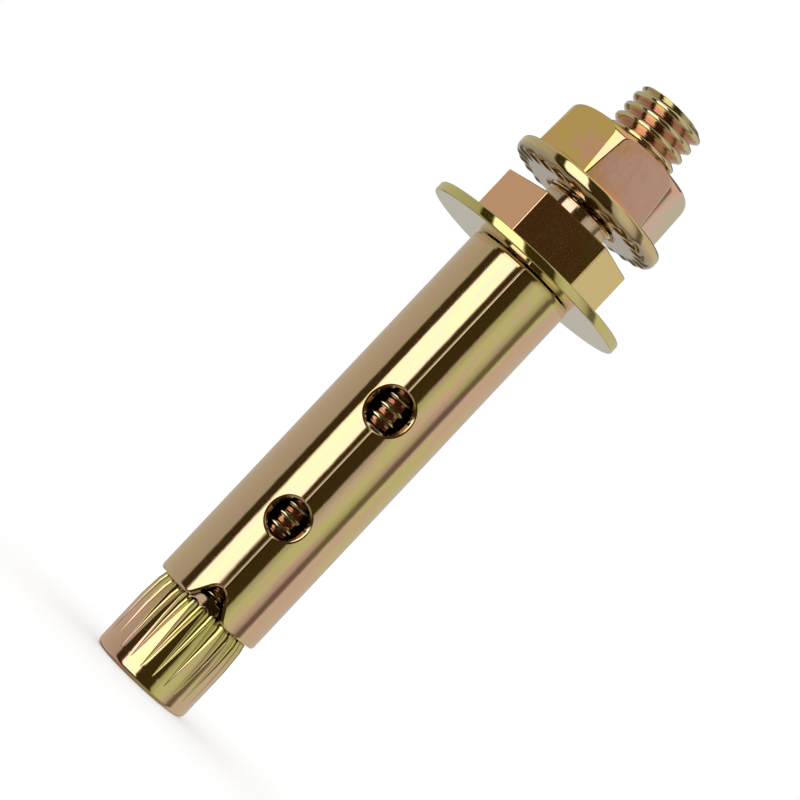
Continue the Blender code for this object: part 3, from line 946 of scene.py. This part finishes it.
# %% A layer of another tint
def share_below(tree, place, measure, low, high):
    """1 on the low side and 0 on the high side, by radius or by height. Swapped limits turn it over."""
    keep = (1, 1, 0) if measure == "radius" else (0, 0, 1)
    kept = add_node(tree, "Mapping", Scale=keep)
    tree.links.new(place, kept.inputs["Vector"])
    length = add_node(tree, "VectorMath", operation="LENGTH")
    tree.links.new(kept.outputs["Vector"], length.inputs[0])
    share = add_node(tree, "MapRange", From_Min=low, From_Max=high, To_Min=1.0, To_Max=0.0)
    tree.links.new(length.outputs["Value"], share.inputs["Value"])
    return share.outputs["Result"]


print("layers lie below a radius or a height, or beyond it")

# %% [markdown]
# Polished metal needs little more: a low roughness, specks of dust that scatter the light, and waves
# too faint to see except in what they mirror. Each piece is plated by itself, so each gets its own seed
# and its own order of tints.

# %% The plated metal
SPECK_SIZE = 0.055 * MM
SPECK_EDGE = 0.08
SPECK_ROUGHNESS = 0.3
WAVE_SIZE = 1.5 * MM
WAVE_HEIGHT = 0.2 * MM


def plating(
    name, seed, patch, tints, mottle=1.0, stretch=1.0, drift=0.0, level=0.0, layers=(),
    roughness=0.07, waviness=0.04, dust=0.7,
):
    """Polished metal with a chromate film. A layer is another tint below a radius or a height."""
    material = bpy.data.materials.new(name)
    material.use_nodes = True
    tree = material.node_tree
    shader = tree.nodes["Principled BSDF"]
    shader.inputs["Metallic"].default_value = 1
    place = add_node(tree, "TexCoord").outputs["Object"]
    tint = film_tint(tree, place, seed, tints, patch, mottle, stretch, drift, level)
    for layer_tint, measure, low, high in layers:
        tint = mix_colours(tree, share_below(tree, place, measure, low, high), tint, layer_tint)
    tree.links.new(tint, shader.inputs["Base Color"])
    specks = noise(tree, place, 1 / SPECK_SIZE, detail=1)
    dusty = ramp(tree, specks, [(dust, roughness), (dust + SPECK_EDGE, SPECK_ROUGHNESS)])
    tree.links.new(dusty, shader.inputs["Roughness"])
    wave = add_node(tree, "Bump", Strength=waviness, Distance=WAVE_HEIGHT)
    tree.links.new(noise(tree, place, 1 / WAVE_SIZE), wave.inputs["Height"])
    tree.links.new(wave.outputs["Normal"], shader.inputs["Normal"])
    print(f"{name}: tints {len(tints)}, layers {len(layers)}")
    return material


def dress(piece, material):
    """Give the piece this one material."""
    piece.data.materials.clear()
    piece.data.materials.append(material)


print(f"specks {SPECK_SIZE / MM:.3f} mm across, waves {WAVE_SIZE / MM:.1f} mm across")

# %% Tints of the film
STRAW = (0.82, 0.65, 0.33)
OLIVE = (0.79, 0.72, 0.26)
PINK = (0.90, 0.58, 0.40)
BLUSH = (0.83, 0.61, 0.37)
PALE = (0.80, 0.73, 0.48)
GOLD = (0.91, 0.64, 0.20)
PEACH = (0.97, 0.57, 0.31)
ROSE = (0.97, 0.60, 0.44)
LEMON = (0.95, 0.74, 0.30)
KHAKI = (0.76, 0.68, 0.40)
LIME = (0.62, 0.64, 0.15)
# Painted shade: a dark brown laid inside the tube and on the top of the cone nut inside the sleeve's
# mouth.
PAINTED_SHADE_BROWN = (0.30, 0.22, 0.13)
# Painted shade: a darker, pinker tint for the roots of the thread, standing in for shade in the
# grooves.
ROOT_SHADE_TINT = (0.72, 0.46, 0.33)
# Painted shade: a dull dark tint for the underside of the flange.
UNDERSIDE_SHADE_TINT = (0.50, 0.42, 0.29)
print("film tints from straw and olive to pink and rose")

# %% Where the layers lie
# Painted shade inside the tube and on the inner part of the cut walls of the holes and the notch.
SHADOWED_INNER_TUBE = ("radius", 5.3 * MM, 5.6 * MM)
UP_THE_FLUTES = ("height", 12 * MM, 4.5 * MM)
# Painted shadow of the sleeve's foot on the top of the cone nut.
SLEEVE_MOUTH_SHADOW = ("height", SLEEVE_FOOT, SLEEVE_FOOT - 0.2 * MM)
NECK_AND_THREAD = ("radius", 4.0 * MM, 4.2 * MM)
# Painted shade in the roots of the thread.
THREAD_ROOT_SHADE = ("radius", 3.45 * MM, 3.85 * MM)
TIP_END = ("height", STUD_TOP - 0.45 * MM, STUD_TOP - 0.65 * MM)
WASHER_FACES = ("radius", 10.9 * MM, 11.25 * MM)
FLANGE_RIM = ("radius", 8.1 * MM, 7.6 * MM)
# Painted shade under the flange.
UNDER_FLANGE_SHADE = ("height", NUT_FOOT + 0.3 * MM, NUT_FOOT + 0.9 * MM)
print(f"the tube is shaded within {SHADOWED_INNER_TUBE[1] / MM:.1f} mm of the axis")

# %% Dress the five pieces
dress(sleeve, plating(
    "sleeve_plating", seed=9, patch=4 * MM,
    tints=[BLUSH, STRAW, BLUSH, STRAW, OLIVE, PINK, BLUSH, PINK, PINK],
    mottle=0.8, stretch=8, drift=0.031, level=-0.088,
    layers=[(PAINTED_SHADE_BROWN, *SHADOWED_INNER_TUBE)],
))
dress(cone_nut, plating(
    "cone_nut_plating", seed=2, patch=6 * MM,
    tints=[PINK, PINK, STRAW, OLIVE, OLIVE, STRAW, BLUSH],
    mottle=0.6, drift=0.04,
    layers=[(LIME, *UP_THE_FLUTES), (PAINTED_SHADE_BROWN, *SLEEVE_MOUTH_SHADOW)],
))
dress(stud, plating(
    "stud_plating", seed=3, patch=6 * MM,
    tints=[PEACH, PEACH, PEACH, LEMON, LEMON],
    drift=0.02, roughness=0.1, waviness=0.02, dust=0.64,
    layers=[(KHAKI, *NECK_AND_THREAD), (ROOT_SHADE_TINT, *THREAD_ROOT_SHADE), (KHAKI, *TIP_END)],
))
dress(washer, plating(
    "washer_plating", seed=4, patch=7 * MM,
    tints=[STRAW, OLIVE, OLIVE],
    layers=[(PALE, *WASHER_FACES)],
))
dress(flange_nut, plating(
    "flange_nut_plating", seed=7, patch=6 * MM,
    tints=[GOLD, GOLD, PEACH, PEACH, ROSE, ROSE, KHAKI],
    mottle=0.8, drift=0.033,
    layers=[(STRAW, *FLANGE_RIM), (UNDERSIDE_SHADE_TINT, *UNDER_FLANGE_SHADE)],
))
print("plated pieces: sleeve, cone nut, stud, washer and flange nut")

# %% [markdown]
# ## The studio
#
# A mirror-bright bolt shows its surroundings more than itself, so the surroundings are designed first.
# In the photo each round piece has a broad bright band left of its middle, a dark band on either side
# of it and a mid grey beyond. That is one large softbox to the left of the camera, between two black
# flags, in a grey room. The softbox leans a little, the flags end above and below, and behind the bolt
# two patches of the wall are dim, which only slanting faces mirror. Lamps could not give the metal such
# sharp edges as a world that colours each reflected ray by its direction. The camera and the floor see
# plain white. Angles round the room count from the camera's side, to its right, and heights from the
# horizon.

# %% The room that the metal sees
ROOM_NEAR = (0.43, 0.41, 0.39)
ROOM_GREY = (0.52, 0.51, 0.49)
ROOM_BRIGHT = (0.59, 0.57, 0.55)
FLAG_BROWN = (0.045, 0.030, 0.010)
THIN_FLAG = (0.16, 0.135, 0.12)
SOFTBOX = (1.6, 1.55, 1.6)
ROOM_ABOVE = (0.62, 0.60, 0.56)
ROOM_BELOW = (0.30, 0.27, 0.22)
ROOM_BEHIND = (0.17, 0.145, 0.09)
ROOM_BANDS = [
    (-180, ROOM_GREY), (-140, ROOM_GREY), (-73, ROOM_NEAR), (-69, FLAG_BROWN), (25.5, FLAG_BROWN),
    (29, ROOM_NEAR), (42, ROOM_BRIGHT), (60, ROOM_BRIGHT), (73, ROOM_NEAR), (80, THIN_FLAG),
    (88, THIN_FLAG), (94, ROOM_BRIGHT), (140, ROOM_BRIGHT), (180, ROOM_GREY),
]
BANDS_FROM = [(-52, 0.0), (-38, 1.0)]
BANDS_TO = [(55, 0.0), (68, 1.0)]
SOFTBOX_SPAN = [(-54, 0.0), (-50.5, 1.0), (-15, 1.0), (-12, 0.0)]
SOFTBOX_HEIGHT = [(-24, 0.0), (-16, 1.0), (48, 1.0), (54, 0.0)]
BEHIND_SPAN = [(-160, 1.0), (-145, 0.0), (145, 0.0), (160, 1.0)]
BEHIND_HEIGHT = [
    (-56, 0.0), (-48, 1.0), (-20, 1.0), (-11, 0.0), (11, 0.0), (20, 1.0), (48, 1.0), (56, 0.0),
]
LEAN = 0.3
print(f"{len(ROOM_BANDS)} stops round the room, softbox {SOFTBOX[0]} times as bright as paper")


# %% Angles as places on a ramp
def by_angle(stops):
    """Place the stops of a ramp, given in degrees round the room, between 0 and 1."""
    return [((angle + 180) / 360, shade) for angle, shade in stops]


def by_height(stops):
    """Place the stops of a ramp, given as degrees above the horizon, between 0 and 1."""
    return [((math.sin(math.radians(angle)) + 1) / 2, shade) for angle, shade in stops]


print("the camera's side is at", by_angle([(0, ROOM_GREY)])[0][0], "on the ramp round the room")


# %% The colour of the room in a direction
def room_colour(tree):
    """Bands round the bolt, open above and below, then the dim patches, and the softbox in front."""
    direction = add_node(tree, "SeparateXYZ")
    tree.links.new(add_node(tree, "TexCoord").outputs["Generated"], direction.inputs[0])
    x, y, z = direction.outputs
    turn = calculate(tree, "ARCTAN2", x, calculate(tree, "MULTIPLY", y, -1))
    leaning = calculate(tree, "MULTIPLY_ADD", z, LEAN, turn)
    around = calculate(tree, "MULTIPLY_ADD", leaning, 1 / math.tau, 0.5)
    upward = calculate(tree, "MULTIPLY_ADD", z, 0.5, 0.5)
    bands = ramp(tree, around, by_angle(ROOM_BANDS))
    walls = mix_colours(tree, ramp(tree, upward, by_height(BANDS_FROM)), ROOM_BELOW, bands)
    room = mix_colours(tree, ramp(tree, upward, by_height(BANDS_TO)), walls, ROOM_ABOVE)
    behind_span = ramp(tree, around, by_angle(BEHIND_SPAN))
    behind_height = ramp(tree, upward, by_height(BEHIND_HEIGHT))
    room = mix_colours(tree, calculate(tree, "MULTIPLY", behind_span, behind_height), room, ROOM_BEHIND)
    span = ramp(tree, around, by_angle(SOFTBOX_SPAN))
    height = ramp(tree, upward, by_height(SOFTBOX_HEIGHT))
    return mix_colours(tree, calculate(tree, "MULTIPLY", span, height), room, SOFTBOX)


print(f"the softbox leans by {LEAN} radians from the horizon to the zenith")

# %% The world
WHITE = (1, 1, 1, 1)


def build_world():
    """White for the camera and the floor, and the studio for reflected rays."""
    world = bpy.data.worlds.new("studio")
    bpy.context.scene.world = world
    world.use_nodes = True
    tree = world.node_tree
    tree.nodes.clear()
    studio = add_node(tree, "Background", Strength=1.0)
    tree.links.new(room_colour(tree), studio.inputs["Color"])
    white = add_node(tree, "Background", Color=WHITE, Strength=1.0)
    mix = add_node(tree, "MixShader")
    tree.links.new(add_node(tree, "LightPath").outputs["Is Glossy Ray"], mix.inputs[0])
    tree.links.new(white.outputs[0], mix.inputs[1])
    tree.links.new(studio.outputs[0], mix.inputs[2])
    output = add_node(tree, "OutputWorld")
    tree.links.new(mix.outputs[0], output.inputs[0])


build_world()
bpy.context.scene.view_settings.view_transform = "Standard"
print("world ready, view transform Standard")

# %% [markdown]
# ## The floor
#
# The bolt stands on a white table that runs to the horizon, so no edge of it shows. The table glows a
# little for the camera alone, which makes it exactly as white as the background, and the bolt's soft
# contact shadow still shows on it.

# %% The white paint
TABLE_PAINT = (0.8, 0.8, 0.8, 1)
TABLE_GLOW = 0.25


def white_paint():
    """A matt paint, with a glow that only the camera sees."""
    material = bpy.data.materials.new("white_table")
    material.use_nodes = True
    tree = material.node_tree
    tree.nodes.clear()
    paint = add_node(tree, "BsdfDiffuse", Color=TABLE_PAINT)
    glow = add_node(tree, "Emission", Color=WHITE)
    camera_ray = add_node(tree, "LightPath").outputs["Is Camera Ray"]
    tree.links.new(calculate(tree, "MULTIPLY", camera_ray, TABLE_GLOW), glow.inputs["Strength"])
    both = add_node(tree, "AddShader")
    tree.links.new(paint.outputs[0], both.inputs[0])
    tree.links.new(glow.outputs[0], both.inputs[1])
    output = add_node(tree, "OutputMaterial")
    tree.links.new(both.outputs[0], output.inputs["Surface"])
    return material


print(f"paint of {TABLE_PAINT[0]}, glow of {TABLE_GLOW}")

# %% The table
TABLE_RADIUS = 30.0
TABLE_CORNERS = 64


def add_table():
    """A large round sheet at the foot of the bolt, which the metal doesn't mirror."""
    mesh = bpy.data.meshes.new("table")
    corners = [
        (math.cos(angle) * TABLE_RADIUS, math.sin(angle) * TABLE_RADIUS, 0)
        for angle in full_turn(TABLE_CORNERS)
    ]
    mesh.from_pydata(corners, [], [list(range(TABLE_CORNERS))])
    mesh.materials.append(white_paint())
    table = bpy.data.objects.new("table", mesh)
    bpy.context.scene.collection.objects.link(table)
    table.visible_glossy = False
    return table


table = add_table()
print(f"{table.name}: radius {TABLE_RADIUS:.0f} m")
